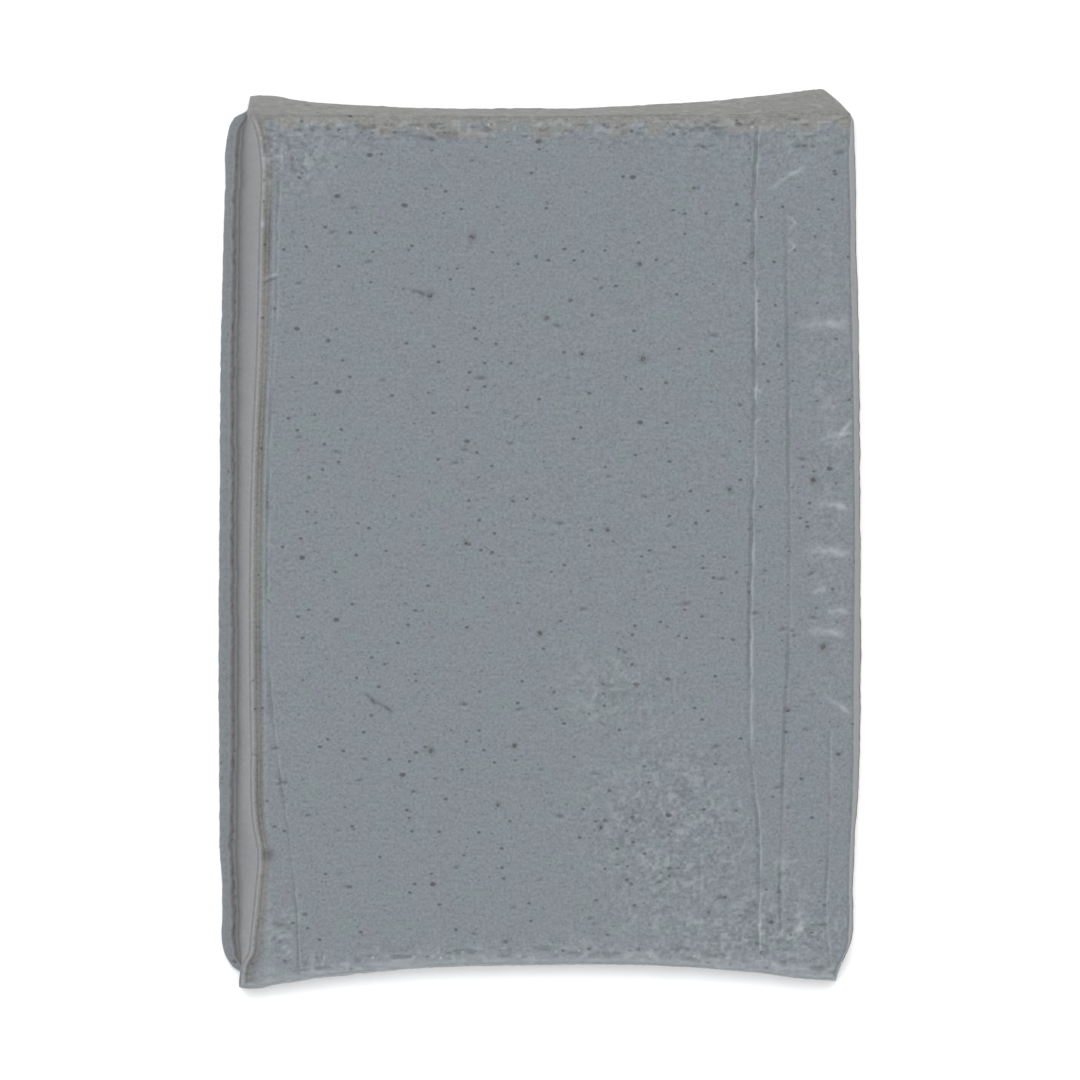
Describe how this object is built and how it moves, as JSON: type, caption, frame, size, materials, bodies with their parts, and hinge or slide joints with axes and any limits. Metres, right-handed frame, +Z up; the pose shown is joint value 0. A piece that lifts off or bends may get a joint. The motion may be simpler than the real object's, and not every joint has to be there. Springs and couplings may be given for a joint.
{
  "type": "detailing clay bar",
  "caption": "Flat rectangular bar of grey detailing clay with hollow long edges, pointed corners, two knife-cut ends and fine grit in its faces.",
  "frame": {"origin": "on the surface the bar lies on, under the middle of its overall width and length", "axes": "+Z up through the thickness, out of the broad working face; X across the two knife-cut ends, with the leaning, ledged end at -X; Y along the cut ends, which is the bar's long way"},
  "size_m": [0.0636, 0.089, 0.0127],
  "materials": {
    "clay_putty": "matte",
    "dark_mineral": "matte",
    "pale_mineral": "matte"
  },
  "bodies": {
    "root": {"clay_bar": "clay_putty", "dark_grit": "dark_mineral", "pale_grit": "pale_mineral"}
  },
  "joints": []
}
